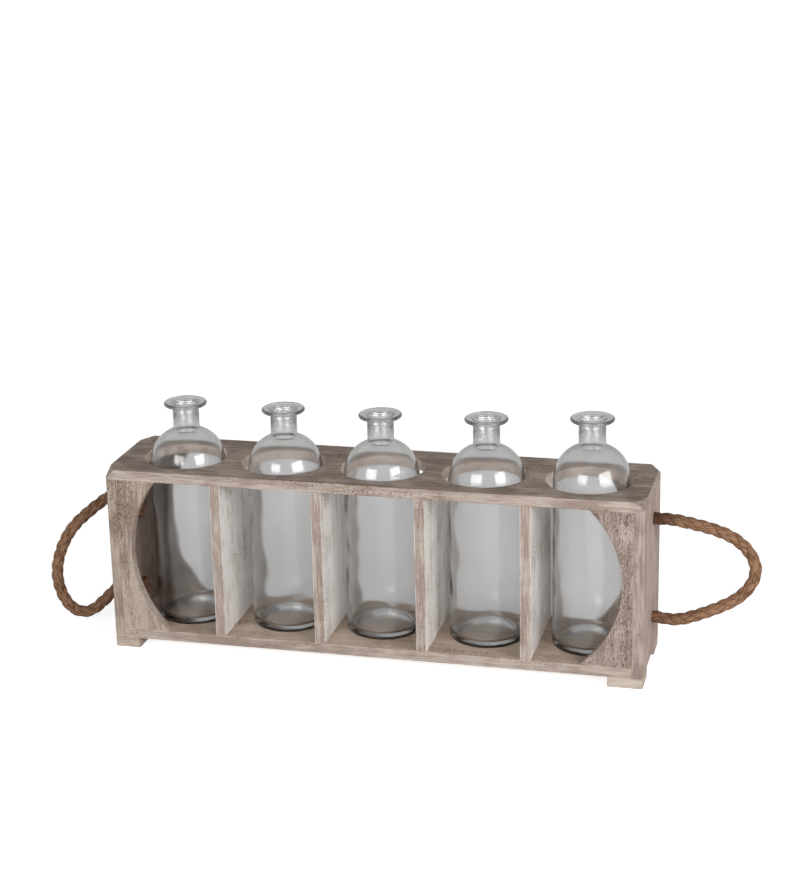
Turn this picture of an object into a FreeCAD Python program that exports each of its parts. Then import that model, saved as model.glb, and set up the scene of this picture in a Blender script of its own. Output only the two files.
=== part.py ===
# Five clear glass bottle vases in a whitewashed wooden crate with rope handles.
# Millimetres. X runs along the crate, Y from front to back, Z up. The origin is on the floor,
# under the middle of the crate.
import FreeCAD, Part
import math
import os

from FreeCAD import Vector

# Crate. Its length follows from the bottles and what stands between and beside them.
crate_depth = 112.0
crate_height = 183.0
top_board_thickness = 10.0
bottom_board_thickness = 10.0
end_panel_thickness = 10.0
divider_thickness = 10.0
board_corner_radius = 2.0
corner_cut_length = 9.0
corner_cut_depth = 17.0
corner_cut_drop = 8.0
cut_overrun = 1.0

# Feet
foot_height = 10.0
foot_lengths = {"left": 25.0, "right": 33.0}
foot_depth = 30.0

# Compartments and the holes over them
compartment_count = 5
bottle_side_room = 8.0
bottle_hole_clearance = 3.5
bottle_hole_rounding = 1.2
# The row of holes is bored a little closer than the compartments, and off to the right
hole_pitch_shortfall = 0.8
hole_row_shift = 1.8

# Corner brackets, whose inner edges are arcs of one round window at each end
bracket_thickness = 10.0
bracket_waists = {"left": 12.4, "right": 10.2}
window_radii = {"left": 112.0, "right": 101.0}
window_rise = 3.7

# Bottles
bottle_height = 217.5
bottle_body_radius = 37.0
bottle_wall = 2.5
bottle_shoulder_start = 150.5
bottle_haunch_radius = 60.0
bottle_shoulder_radius = 32.0
bottle_shoulder_offset = 3.6
bottle_heel_radius = 2.5
bottle_inner_heel_radius = 6.0
bottle_standing_width = 8.0
bottle_floor_thickness = 5.5
bottle_punt_rise = 9.0
neck_radius = 12.7
neck_bore_radius = 10.0
neck_root_flare = 1.0
lip_radius = 20.8
lip_rounding = 1.7
lip_dish = 1.8
mouth_rounding = 1.5
collar_drop = 6.2
collar_bulge = 1.2
# How much taller than that each bottle came out
bottle_stretches = [1.8, 0.5, 0.0, 1.5, 7.2]
# How far each bottle stands off the middle of its hole, in shares of its clearance
bottle_shift_shares = [0.55, 0.53, -0.39, 0.59, 0.8]
bottle_forward_share = 0.35

# Rope handles
rope_radius = 6.0
rope_hole_clearance = 0.5
rope_hole_spacing = 99.0
rope_hole_offset = 8.0
rope_swing_gap = 0.3
handle_swing_angles = {"left": 15.0, "right": 0.0}
# Each handle's route outside its end panel, between its two ends on the swing axis: how far out,
# and how high over the floor
handle_routes = {
    "left": [
        (22, 134.5), (37.5, 120.5), (52, 104), (64.5, 86), (72, 66.5), (74.5, 46), (69, 29),
        (57, 19), (42.5, 20.5), (28.5, 30), (15.5, 41.5),
    ],
    "right": [
        (18, 145), (35, 142), (53, 136), (70, 127.5), (85, 114), (94, 98), (93.5, 81.5),
        (82.5, 67.5), (65, 56.5), (45, 48), (27, 44), (14.5, 45),
    ],
}
arc_share = 0.45

# Knots behind the end panels
knot_radius = 10.5
knot_half_height = 13.0
knot_shift = 7.0
knot_tail_length = 20.0
knot_gap = 0.3
knot_bottle_gap = 0.6
squeezed_rope_radius = 5.1
squeezed_rope_room = 2.5

# Brad nails, set below the surface
brad_radius = 0.8
brad_hole_clearance = 0.05
brad_set_depth = 1.5
board_brad_length = 30.0
foot_brad_length = 16.0
brad_edge_margin = 20.0
bracket_brad_inset = 15.0
panel_brad_spacing = 20.0
foot_brad_inset = 18.0
foot_brad_spacing = 10.0

# Places worked out from the sizes above
compartment_pitch = 2 * (bottle_body_radius + bottle_side_room) + divider_thickness
steps_from_middle = [i - (compartment_count - 1) / 2 for i in range(compartment_count)]
compartment_places = [compartment_pitch * step for step in steps_from_middle]
divider_places = [(a + b) / 2 for a, b in zip(compartment_places, compartment_places[1:])]
hole_pitch = compartment_pitch - hole_pitch_shortfall
hole_places = [hole_row_shift + hole_pitch * step for step in steps_from_middle]
bottle_hole_radius = bottle_body_radius + bottle_hole_clearance
bottle_places = [
    place + share * bottle_hole_clearance for place, share in zip(hole_places, bottle_shift_shares)
]
end_room = knot_gap + 2 * squeezed_rope_radius + squeezed_rope_room
inner_half_length = compartment_places[-1] + bottle_body_radius + end_room
half_length = inner_half_length + end_panel_thickness
half_depth = crate_depth / 2
floor_level = foot_height + bottom_board_thickness
ceiling_level = crate_height - top_board_thickness
middle_level = (foot_height + crate_height) / 2
window_centre_reaches = {
    end: inner_half_length - bracket_waists[end] - window_radii[end] for end in bracket_waists
}
window_centre_height = (floor_level + ceiling_level) / 2 + window_rise
rope_levels = {
    "upper": middle_level + rope_hole_spacing / 2,
    "lower": middle_level - rope_hole_spacing / 2,
}
swing_axis_reach = rope_radius + rope_swing_gap
knot_reach = inner_half_length - knot_gap - knot_radius
knot_offset = math.sqrt(
    (bottle_body_radius + knot_radius + knot_bottle_gap) ** 2 - (knot_reach - bottle_places[-1]) ** 2
)
ends = {"left": -1, "right": 1}
sides = {"front": -1, "rear": 1}
aside = (-1, 1)
brad_rows = [s * (half_depth - brad_edge_margin) for s in aside]


def span(a, b):
    """Two values in rising order."""
    return min(a, b), max(a, b)


def board(x_span, y_span, z_span):
    """A plain board between two places along each axis."""
    lengths = [s[1] - s[0] for s in (x_span, y_span, z_span)]
    return Part.makeBox(*lengths, Vector(x_span[0], y_span[0], z_span[0]))


def with_soft_corners(solid):
    """The solid with its upright edges at the crate's four corners rounded."""
    edges = [
        e for e in solid.Edges
        if e.BoundBox.ZLength > board_corner_radius
        and half_length - abs(e.CenterOfMass.x) < board_corner_radius
        and half_depth - abs(e.CenterOfMass.y) < board_corner_radius
    ]
    return solid.makeFillet(board_corner_radius, edges)


def save(name, shape):
    """Writes one sub-part's STEP file."""
    shape.exportStep(f"parts/{name}.step")
    print(f"{name}: {len(shape.Solids)} solids, {shape.Volume:.0f} mm3, valid {shape.isValid()}")


# Brad nails and the holes that they sit in
def brad(start, direction, length, clearance):
    """One brad, or with a clearance its hole."""
    return Part.makeCylinder(brad_radius + clearance, length, Vector(*start), Vector(*direction))


def bracket_brad_columns():
    """Where the brads in the brackets stand, along and across the crate."""
    along = inner_half_length - bracket_brad_inset
    across = half_depth - bracket_thickness / 2
    return [(end * along, side * across) for end in aside for side in aside]


def top_brads(clearance=0.0):
    """The brads down through the top board into dividers, end panels and brackets."""
    uprights = divider_places + [s * (half_length - end_panel_thickness / 2) for s in aside]
    columns = [(x, y) for x in uprights for y in brad_rows] + bracket_brad_columns()
    start = crate_height - brad_set_depth
    return [brad((x, y, start), (0, 0, -1), board_brad_length, clearance) for x, y in columns]


def bottom_brads(clearance=0.0):
    """The brads up through the bottom board into dividers and brackets."""
    columns = [(x, y) for x in divider_places for y in brad_rows] + bracket_brad_columns()
    start = foot_height + brad_set_depth
    return [brad((x, y, start), (0, 0, 1), board_brad_length, clearance) for x, y in columns]


def panel_brads(clearance=0.0):
    """The brads through the end panels into the ends of the bottom board."""
    start = half_length - brad_set_depth
    level = foot_height + bottom_board_thickness / 2
    rows = [row * panel_brad_spacing for row in (-1, 0, 1)]
    return [
        brad((end * start, y, level), (-end, 0, 0), board_brad_length, clearance)
        for end in aside for y in rows
    ]


def foot_brads(clearance=0.0):
    """Two brads up through each foot into the bottom board."""
    along = half_length - foot_brad_inset
    across = [half_depth - foot_depth / 2 + row * foot_brad_spacing / 2 for row in aside]
    return [
        brad((end * along, side * y, brad_set_depth), (0, 0, 1), foot_brad_length, clearance)
        for end in aside for side in aside for y in across
    ]


brad_groups = {
    "top_brads": top_brads, "bottom_brads": bottom_brads,
    "panel_brads": panel_brads, "foot_brads": foot_brads,
}
brad_holes = [hole for group in brad_groups.values() for hole in group(brad_hole_clearance)]


def drilled(solid):
    """The solid with the holes of the brads that reach it."""
    return solid.cut([h for h in brad_holes if h.BoundBox.intersect(solid.BoundBox)])


# Crate boards
def corner_cut(end, side):
    """What is planed off one top corner of the top board, beyond a slanting plane."""
    corner = Vector(end * half_length, side * half_depth, crate_height)
    points = [
        corner - Vector(end * corner_cut_length, 0, 0),
        corner - Vector(0, side * corner_cut_depth, 0),
        corner - Vector(0, 0, corner_cut_drop),
    ]
    centre = (points[0] + points[1] + points[2]) / len(points)
    outwards = (points[1] - points[0]).cross(points[2] - points[0]).normalize()
    if outwards.dot(corner - centre) < 0:
        outwards = -outwards
    wide = [centre + (p - centre) * len(points) for p in points]
    return Part.Face(Part.makePolygon(wide + wide[:1])).extrude(outwards * corner_cut_depth)


def top_board():
    """The top board with its round holes, softened rims and planed corners."""
    blank = with_soft_corners(board(
        (-half_length, half_length), (-half_depth, half_depth), (ceiling_level, crate_height)
    ))
    depth = top_board_thickness + 2 * cut_overrun
    start = ceiling_level - cut_overrun
    holes = [Part.makeCylinder(bottle_hole_radius, depth, Vector(x, 0, start)) for x in hole_places]
    blank = blank.cut(holes)
    rims = [
        e for e in blank.Edges
        if isinstance(e.Curve, Part.Circle)
        and e.Curve.Radius > bottle_hole_radius / 2
        and e.CenterOfMass.z > crate_height - bottle_hole_rounding
    ]
    blank = blank.makeFillet(bottle_hole_rounding, rims)
    return drilled(blank.cut([corner_cut(end, side) for end in aside for side in aside]))


def bottom_board():
    """The bottom board, between the end panels."""
    return drilled(board(
        (-inner_half_length, inner_half_length), (-half_depth, half_depth),
        (foot_height, floor_level),
    ))


def end_panel(end):
    """One end panel with its rope holes. One panel is the other turned half round."""
    x_span = span(end * inner_half_length, end * half_length)
    panel = with_soft_corners(board(x_span, (-half_depth, half_depth), (foot_height, ceiling_level)))
    radius = rope_radius + rope_hole_clearance
    depth = end_panel_thickness + 2 * cut_overrun
    x, y = x_span[0] - cut_overrun, end * rope_hole_offset
    holes = [
        Part.makeCylinder(radius, depth, Vector(x, y, level), Vector(1, 0, 0))
        for level in rope_levels.values()
    ]
    return drilled(panel.cut(holes))


def divider(x):
    """One upright divider between two compartments."""
    x_span = (x - divider_thickness / 2, x + divider_thickness / 2)
    return drilled(board(x_span, (-half_depth, half_depth), (floor_level, ceiling_level)))


def bracket(end_name, side):
    """One corner bracket: its inner edge is an arc of the round window."""
    end = ends[end_name]
    centre = end * window_centre_reaches[end_name]
    y_span = span(side * (half_depth - bracket_thickness), side * half_depth)
    x_span = span(centre, end * inner_half_length)
    window = Part.makeCylinder(
        window_radii[end_name], bracket_thickness + 2 * cut_overrun,
        Vector(centre, y_span[0] - cut_overrun, window_centre_height), Vector(0, 1, 0),
    )
    return drilled(board(x_span, y_span, (floor_level, ceiling_level)).cut(window))


def foot(end_name, side):
    """One foot block, flush with the crate's corner."""
    end = ends[end_name]
    x_span = span(end * (half_length - foot_lengths[end_name]), end * half_length)
    y_span = span(side * (half_depth - foot_depth), side * half_depth)
    return drilled(with_soft_corners(board(x_span, y_span, (0, foot_height))))


# Bottles, drawn as a half section: distance from the axis, and height over the bottle's base
def at(point):
    """A point of the half section in space."""
    return Vector(point[0], 0, point[1])


def line(start, end):
    """A straight edge of the half section."""
    return Part.LineSegment(at(start), at(end)).toShape()


def arc(start, middle, end):
    """A round edge of the half section."""
    return Part.Arc(at(start), at(middle), at(end)).toShape()


def arc_about(centre, start, end):
    """A round edge about a centre, the short way from one point to another."""
    reach = [(start[i] + end[i]) / 2 - centre[i] for i in range(2)]
    scale = math.dist(start, centre) / math.hypot(*reach)
    return arc(start, [centre[i] + reach[i] * scale for i in range(2)], end)


def dome_arc(half_width, base, rise):
    """A shallow dome's arc, from its top on the axis down to its rim."""
    radius = (half_width ** 2 + rise ** 2) / (2 * rise)
    half_angle = math.asin(min(1, half_width / radius)) / 2
    middle = (radius * math.sin(half_angle), base + rise - radius * (1 - math.cos(half_angle)))
    return arc((0, base + rise), middle, (half_width, base))


def shoulder_edges(neck, inset, base):
    """The edges from the body wall over haunch and shoulder into the neck, and where they end.

    The haunch's and the shoulder's arcs touch, and the inset moves both in from the outside.
    """
    haunch = (bottle_body_radius - bottle_haunch_radius, base)
    apart = bottle_haunch_radius - bottle_shoulder_radius
    across = bottle_shoulder_offset - haunch[0]
    crown = (bottle_shoulder_offset, base + math.sqrt(apart ** 2 - across ** 2))
    shoulder_radius = bottle_shoulder_radius - inset
    haunch_share = (bottle_haunch_radius - inset) / apart
    touch = [haunch[i] + (crown[i] - haunch[i]) * haunch_share for i in range(2)]
    root_reach = neck + neck_root_flare
    root_rise = math.sqrt(shoulder_radius ** 2 - (root_reach - crown[0]) ** 2)
    root = (root_reach, crown[1] + root_rise)
    outwards = [(root[i] - crown[i]) / shoulder_radius for i in range(2)]
    root_radius = neck_root_flare / (1 - outwards[0])
    root_centre = [root[i] + root_radius * outwards[i] for i in range(2)]
    neck_foot = (neck, root_centre[1])
    edges = [
        arc_about(haunch, (bottle_body_radius - inset, base), touch),
        arc_about(crown, touch, root),
        arc_about(root_centre, root, neck_foot),
    ]
    return edges, neck_foot


def bottle_outside(shoulder, height):
    """The outer edges of the half section, from the pushed-up base to the lip."""
    standing_outer = bottle_body_radius - bottle_heel_radius
    standing_inner = standing_outer - bottle_standing_width
    shoulder_part, neck_foot = shoulder_edges(neck_radius, 0, shoulder)
    collar_low = (neck_radius, height - collar_drop)
    collar_high = (neck_radius, collar_low[1] + 2 * collar_bulge)
    lip_centre = (lip_radius - lip_rounding, height - lip_rounding)
    lip_low = (lip_centre[0], lip_centre[1] - lip_rounding)
    lip_high = (lip_centre[0], height)
    return [
        dome_arc(standing_inner, 0, bottle_punt_rise),
        line((standing_inner, 0), (standing_outer, 0)),
        arc_about(
            (standing_outer, bottle_heel_radius), (standing_outer, 0),
            (bottle_body_radius, bottle_heel_radius),
        ),
        line((bottle_body_radius, bottle_heel_radius), (bottle_body_radius, shoulder)),
        *shoulder_part,
        line(neck_foot, collar_low),
        arc(collar_low, (neck_radius + collar_bulge, collar_low[1] + collar_bulge), collar_high),
        line(collar_high, lip_low),
        arc(lip_low, (lip_radius, lip_centre[1]), lip_high),
    ]


def bottle_inside(shoulder, height):
    """The inner edges of the half section, from the lip to the floor inside."""
    width = bottle_body_radius - bottle_wall
    lip_high = (lip_radius - lip_rounding, height)
    mouth_outer = (neck_bore_radius + mouth_rounding, height - lip_dish)
    mouth_inner = (neck_bore_radius, mouth_outer[1] - mouth_rounding)
    shoulder_part, neck_foot = shoulder_edges(neck_bore_radius, bottle_wall, shoulder)
    heel_top = (width, bottle_floor_thickness + bottle_inner_heel_radius)
    heel_end = (width - bottle_inner_heel_radius, bottle_floor_thickness)
    return [
        line(lip_high, mouth_outer),
        arc_about((mouth_outer[0], mouth_inner[1]), mouth_outer, mouth_inner),
        line(mouth_inner, neck_foot),
        *reversed(shoulder_part),
        line((width, shoulder), heel_top),
        arc_about((heel_end[0], heel_top[1]), heel_top, heel_end),
        dome_arc(heel_end[0], bottle_floor_thickness, bottle_punt_rise),
        line((0, bottle_floor_thickness + bottle_punt_rise), (0, bottle_punt_rise)),
    ]


def bottle(x, stretch):
    """One bottle, turned about its own axis and stood on the bottom board."""
    levels = (bottle_shoulder_start + stretch, bottle_height + stretch)
    section = Part.Face(Part.Wire(bottle_outside(*levels) + bottle_inside(*levels)))
    solid = section.revolve(Vector(0, 0, 0), Vector(0, 0, 1), 360)
    solid.translate(Vector(x, -bottle_forward_share * bottle_hole_clearance, floor_level))
    return solid


# Rope handles
def route_point(end_name, out, level):
    """A point of a handle's route, in the upright plane that the handle hangs in."""
    end = ends[end_name]
    angle = math.radians(handle_swing_angles[end_name])
    start = Vector(end * (half_length + swing_axis_reach), end * rope_hole_offset, 0)
    along = Vector(end * math.cos(angle), end * math.sin(angle), 0)
    return start + along * (out - swing_axis_reach) + Vector(0, 0, level)


def smooth_path(points):
    """Straight runs joined by the largest tangent arcs that they allow, as one wire."""
    edges, radii, start = [], [], points[0]
    for before, corner, after in zip(points, points[1:], points[2:]):
        back, ahead = before - corner, after - corner
        half_turn = (math.pi - back.getAngle(ahead)) / 2
        trim = arc_share * min(back.Length, ahead.Length)
        radius = trim / math.tan(half_turn)
        inwards = (back.normalize() + ahead.normalize()).normalize()
        arc_start, arc_end = corner + back * trim, corner + ahead * trim
        middle = corner + inwards * (radius / math.cos(half_turn) - radius)
        edges.append(Part.LineSegment(start, arc_start).toShape())
        edges.append(Part.Arc(arc_start, middle, arc_end).toShape())
        radii.append(round(radius))
        start = arc_end
    edges.append(Part.LineSegment(start, points[-1]).toShape())
    print(f"arc radii {radii}, smallest {min(radii) / (2 * rope_radius):.1f} diameters")
    return Part.Wire(edges)


def rope_handle(end_name):
    """One handle's rope outside its panel, with a round end in each hole's mouth."""
    route = [
        (swing_axis_reach, rope_levels["upper"]), *handle_routes[end_name],
        (swing_axis_reach, rope_levels["lower"]),
    ]
    points = [route_point(end_name, out, level) for out, level in route]
    path = smooth_path(points)
    circle = Part.Wire(Part.makeCircle(rope_radius, points[0], points[1] - points[0]))
    tube = path.makePipeShell([circle], True, False)
    expected = path.Length * math.pi * rope_radius ** 2
    print(f"rope {path.Length:.1f} mm long, tube volume is {tube.Volume / expected:.4f} of that")
    balls = [Part.makeSphere(rope_radius, points[i]) for i in (0, -1)]
    return tube.fuse(balls).removeSplitter()


def knot_ball(centre):
    """A knot's outer form, an upright spheroid."""
    top = Vector(0, 0, knot_half_height)
    side = Vector(knot_radius, 0, 0)
    axes = (top, side) if knot_half_height > knot_radius else (side, top)
    ellipse = Part.Ellipse(*axes, Vector(0, 0, 0))
    ends_on_axis = span(ellipse.parameter(top), ellipse.parameter(-top))
    half = Part.ArcOfEllipse(ellipse, *ends_on_axis).toShape()
    section = Part.Face(Part.Wire([half, Part.LineSegment(-top, top).toShape()]))
    ball = section.revolve(Vector(0, 0, 0), Vector(0, 0, 1), 360)
    ball.translate(centre)
    return ball


def rope_knot_form():
    """The rope through the right panel's upper hole, with the knot that holds it inside."""
    level = rope_levels["upper"]
    elbow = Vector(inner_half_length - knot_gap - squeezed_rope_radius, rope_hole_offset, level)
    centre = Vector(knot_reach, knot_offset, level - knot_shift)
    run = centre - elbow
    mouth = Vector(half_length, rope_hole_offset, level)
    inner_mouth = Vector(inner_half_length, rope_hole_offset, level)
    inwards = Vector(-1, 0, 0)
    return Part.makeCylinder(rope_radius, end_panel_thickness, mouth, inwards).fuse([
        Part.makeCylinder(squeezed_rope_radius, inner_half_length - elbow.x, inner_mouth, inwards),
        Part.makeSphere(squeezed_rope_radius, elbow),
        Part.makeCylinder(squeezed_rope_radius, run.Length, elbow, run),
        knot_ball(centre),
        Part.makeCylinder(squeezed_rope_radius, knot_tail_length, centre),
    ]).removeSplitter()


def rope_knot(end_name, level_name):
    """One knot: the upper one is turned over for a lower hole, and half round for the left."""
    knot = rope_knot_form()
    if level_name == "lower":
        knot = knot.mirror(Vector(0, 0, middle_level), Vector(0, 0, 1))
    if end_name == "left":
        knot.rotate(Vector(0, 0, 0), Vector(0, 0, 1), 180)
    return knot


def main():
    """Builds every sub-part and writes its file."""
    os.makedirs("parts", exist_ok=True)
    save("top_board", top_board())
    save("bottom_board", bottom_board())
    for number, x in enumerate(divider_places, 1):
        save(f"divider_{number}", divider(x))
    for end_name, end in ends.items():
        save(f"end_panel_{end_name}", end_panel(end))
        for side_name, side in sides.items():
            save(f"bracket_{side_name}_{end_name}", bracket(end_name, side))
            save(f"foot_{side_name}_{end_name}", foot(end_name, side))
        save(f"rope_handle_{end_name}", rope_handle(end_name))
        for level_name in rope_levels:
            save(f"rope_knot_{end_name}_{level_name}", rope_knot(end_name, level_name))
    for name, group in brad_groups.items():
        save(name, Part.makeCompound(group()))
    for number, (x, stretch) in enumerate(zip(bottle_places, bottle_stretches), 1):
        save(f"bottle_{number}", bottle(x, stretch))


main()
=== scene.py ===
"""Five clear glass bottle vases in a limed wooden crate with rope handles.

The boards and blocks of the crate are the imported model's own. The bottles, the ropes with their
knots and loose fibres, and the filler over the brad nails are modelled here. Metres throughout.
"""

import logging
import math
import random
from dataclasses import dataclass
from enum import Enum

import bmesh
import bpy
from mathutils import Matrix, Vector, noise


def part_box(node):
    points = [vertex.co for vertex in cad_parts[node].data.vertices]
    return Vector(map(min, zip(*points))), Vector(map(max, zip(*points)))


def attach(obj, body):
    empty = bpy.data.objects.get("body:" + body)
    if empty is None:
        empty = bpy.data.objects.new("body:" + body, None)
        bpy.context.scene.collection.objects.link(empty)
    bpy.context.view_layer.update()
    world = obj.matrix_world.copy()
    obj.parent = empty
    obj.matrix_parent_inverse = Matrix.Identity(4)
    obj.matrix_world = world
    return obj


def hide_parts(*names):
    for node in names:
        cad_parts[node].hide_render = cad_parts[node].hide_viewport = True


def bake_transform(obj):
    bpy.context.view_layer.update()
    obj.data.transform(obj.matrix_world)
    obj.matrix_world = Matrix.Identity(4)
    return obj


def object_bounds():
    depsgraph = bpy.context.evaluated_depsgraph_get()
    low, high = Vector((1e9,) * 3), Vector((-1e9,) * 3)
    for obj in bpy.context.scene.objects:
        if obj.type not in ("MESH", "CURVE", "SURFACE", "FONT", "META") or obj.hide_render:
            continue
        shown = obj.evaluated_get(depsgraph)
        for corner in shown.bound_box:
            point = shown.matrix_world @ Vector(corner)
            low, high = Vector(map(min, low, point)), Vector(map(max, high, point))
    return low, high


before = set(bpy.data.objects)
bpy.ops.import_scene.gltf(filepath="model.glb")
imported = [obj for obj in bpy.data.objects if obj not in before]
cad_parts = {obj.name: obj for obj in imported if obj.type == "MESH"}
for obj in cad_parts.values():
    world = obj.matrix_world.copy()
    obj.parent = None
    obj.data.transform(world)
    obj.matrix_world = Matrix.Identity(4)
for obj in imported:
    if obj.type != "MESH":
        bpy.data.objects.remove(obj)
cad_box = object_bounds()

Colour = tuple[float, float, float]
Point = tuple[float, float, float]
MM = 0.001
log = logging.getLogger("bottle_crate")


class Wire:
    """One output of a shader node, which can stand in sums with numbers and other wires."""

    def __init__(self, shader: "Shader", socket: bpy.types.NodeSocket) -> None:
        """Keeps the shader and the socket."""
        self.shader = shader
        self.socket = socket

    def maths(self, operation: str, *values: "Wire | float") -> "Wire":
        """One Math node on these values."""
        return self.shader.node("Math", {"operation": operation}, dict(enumerate(values)))

    def __add__(self, other: "Wire | float") -> "Wire":
        """The sum."""
        return self.maths("ADD", self, other)

    __radd__ = __add__

    def __sub__(self, other: "Wire | float") -> "Wire":
        """The difference."""
        return self.maths("SUBTRACT", self, other)

    def __rsub__(self, other: "Wire | float") -> "Wire":
        """The difference from a number."""
        return self.maths("SUBTRACT", other, self)

    def __mul__(self, other: "Wire | float") -> "Wire":
        """The product."""
        return self.maths("MULTIPLY", self, other)

    __rmul__ = __mul__

    def __truediv__(self, other: "Wire | float") -> "Wire":
        """The quotient."""
        return self.maths("DIVIDE", self, other)

    def __pow__(self, other: "Wire | float") -> "Wire":
        """The power."""
        return self.maths("POWER", self, other)

    def __abs__(self) -> "Wire":
        """The value without its sign."""
        return self.maths("ABSOLUTE", self)

    def least(self, other: "Wire | float") -> "Wire":
        """The smaller of two values."""
        return self.maths("MINIMUM", self, other)

    def most(self, other: "Wire | float") -> "Wire":
        """The larger of two values."""
        return self.maths("MAXIMUM", self, other)

    def rounded(self) -> "Wire":
        """The nearest whole number."""
        return self.maths("ROUND", self)

    def ramp(self, start: float, end: float) -> "Wire":
        """Runs smoothly from 0 at start to 1 at end, whichever is larger.

        Args:
            start: The value that gives 0.
            end: The value that gives 1.

        Returns:
            A share from 0 to 1.
        """
        low, high = min(start, end), max(start, end)
        share = self.shader.node(
            "MapRange", {"interpolation_type": "SMOOTHSTEP"},
            {"Value": self, "From Min": low, "From Max": high},
        )
        return share if start < end else 1 - share


class Shader:
    """The node tree of one material or world, built up from wires."""

    MIX_A, MIX_B, MIX_COLOUR = 6, 7, 2

    def __init__(self, owner: bpy.types.Material | bpy.types.World) -> None:
        """Empties the owner's node tree, ready for use."""
        owner.use_nodes = True
        self.owner = owner
        self.tree = owner.node_tree
        self.tree.nodes.clear()

    def node(self, kind: str, settings: dict | None = None, inputs: dict | None = None,
             output: int | str = 0) -> Wire:
        """Adds any node.

        Args:
            kind: The node's type, without its prefix.
            settings: Its properties, set before its inputs. The key stops holds a ramp's stops.
            inputs: The values or wires of its input sockets, by name or number.
            output: Which of its outputs is returned.

        Returns:
            That output, or the first for a node that has none of its own.
        """
        node = self.tree.nodes.new("ShaderNode" + kind)
        for name, value in (settings or {}).items():
            if name == "stops":
                self.set_stops(node.color_ramp, value)
            else:
                setattr(node, name, value)
        for name, value in (inputs or {}).items():
            if isinstance(value, Wire):
                self.tree.links.new(value.socket, node.inputs[name])
            elif value is not None:
                node.inputs[name].default_value = value
        return Wire(self, node.outputs[output]) if node.outputs else None

    @staticmethod
    def set_stops(ramp: bpy.types.ColorRamp, stops: list[tuple[float, Colour]]) -> None:
        """Gives a colour ramp its stops.

        Args:
            ramp: The ramp, which starts with two stops.
            stops: Places from 0 to 1 with their colours, in order.
        """
        while len(ramp.elements) < len(stops):
            ramp.elements.new(1.0)
        for element, (place, colour) in zip(ramp.elements, stops):
            element.position = place
            element.color = (*colour, 1.0)

    def mix(self, share: Wire | float, a: "Wire | Colour", b: "Wire | Colour") -> Wire:
        """A colour between two others.

        Args:
            share: How much of the second.
            a: The first colour.
            b: The second colour.

        Returns:
            The mixed colour.
        """
        colours = [c if isinstance(c, Wire) else (*c, 1.0) for c in (a, b)]
        return self.node(
            "Mix", {"data_type": "RGBA"},
            {0: share, self.MIX_A: colours[0], self.MIX_B: colours[1]}, self.MIX_COLOUR,
        )

    def place(self) -> Wire:
        """The point on the piece, in the object's frame, in metres."""
        return self.node("TexCoord", output="Object")

    def stretched(self, vector: Wire, scale: Point, shift: Point) -> Wire:
        """A vector times a scale for each axis, and then shifted."""
        settings = {"operation": "MULTIPLY_ADD"}
        return self.node("VectorMath", settings, {0: vector, 1: scale, 2: shift})

    def parts(self, vector: Wire) -> list[Wire]:
        """The three numbers of a vector."""
        node = self.node("SeparateXYZ", inputs={0: vector}).socket.node
        return [Wire(self, socket) for socket in node.outputs]

    def noise(self, vector: Wire, scale: float, detail: float = 2.0, distortion: float = 0.0) -> Wire:
        """Smooth noise around a half.

        Args:
            vector: Where it is read.
            scale: How many features lie in one unit.
            detail: How many finer layers there are.
            distortion: How far it is swirled.

        Returns:
            A value from 0 to 1.
        """
        values = {"Vector": vector, "Scale": scale, "Detail": detail, "Distortion": distortion}
        return self.node("TexNoise", inputs=values)

    def bump(self, height: Wire, depth: float, strength: float = 1.0) -> Wire:
        """A normal from a height between 0 and 1, whose full range is a depth in metres."""
        values = {"Height": height, "Distance": depth, "Strength": strength}
        return self.node("Bump", inputs=values)

    def principled(self, inputs: dict) -> Wire:
        """The Principled shader with these inputs."""
        return self.node("BsdfPrincipled", inputs=inputs)

    def finish(self, surface: Wire, volume: Wire | None = None) -> bpy.types.Material:
        """Joins the shaders to the output and returns the material."""
        self.node("OutputMaterial", inputs={"Surface": surface, "Volume": volume})
        return self.owner


def new_shader(name: str) -> Shader:
    """A shader for a new material."""
    return Shader(bpy.data.materials.new(name))


class Grain(Enum):
    """The way the grain of a board runs."""

    ALONG = (0.07, 1.0, 1.0)
    DEEP = (1.0, 0.07, 1.0)
    UP = (1.0, 1.0, 0.07)


class Face(Enum):
    """The pair of a board's faces that has its own wash."""

    ENDS = 0
    FRONT = 1
    LEVEL = 2


@dataclass(frozen=True)
class Wash:
    """One coat of lime wash over the bare wood, as it shows on a face."""

    thick: Colour
    thin: Colour
    speck: Colour
    cover: float


FRONT_WASH = Wash((0.48, 0.405, 0.352), (0.31, 0.24, 0.20), (0.13, 0.08, 0.055), 0.5)
PINK_WASH = Wash((0.43, 0.352, 0.314), (0.27, 0.205, 0.177), (0.12, 0.075, 0.055), 0.5)
GREY_WASH = Wash((0.43, 0.355, 0.292), (0.25, 0.19, 0.15), (0.11, 0.07, 0.045), 0.5)
SIDE_WASH = Wash((0.48, 0.375, 0.32), (0.35, 0.265, 0.22), (0.16, 0.10, 0.07), 0.5)
# The grey wash darkened as painted shade, for the left panel's end faces, whose inner face stands in the
# crate's shade.
PAINTED_SHADE_WASH = Wash((0.31, 0.24, 0.20), (0.205, 0.15, 0.12), (0.09, 0.06, 0.04), 0.5)
WHITE_WASH = Wash((0.78, 0.745, 0.71), (0.55, 0.485, 0.435), (0.22, 0.14, 0.10), 0.56)
WORN_WASH = Wash((0.47, 0.385, 0.325), (0.255, 0.197, 0.162), (0.10, 0.07, 0.05), 0.49)
FLOOR_WASH = Wash((0.57, 0.455, 0.37), (0.42, 0.31, 0.235), (0.17, 0.10, 0.065), 0.52)
FOOT_WASH = Wash((0.54, 0.465, 0.40), (0.38, 0.30, 0.245), (0.15, 0.10, 0.07), 0.52)
BARE_WOOD: Colour = (0.30, 0.17, 0.10)


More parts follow.
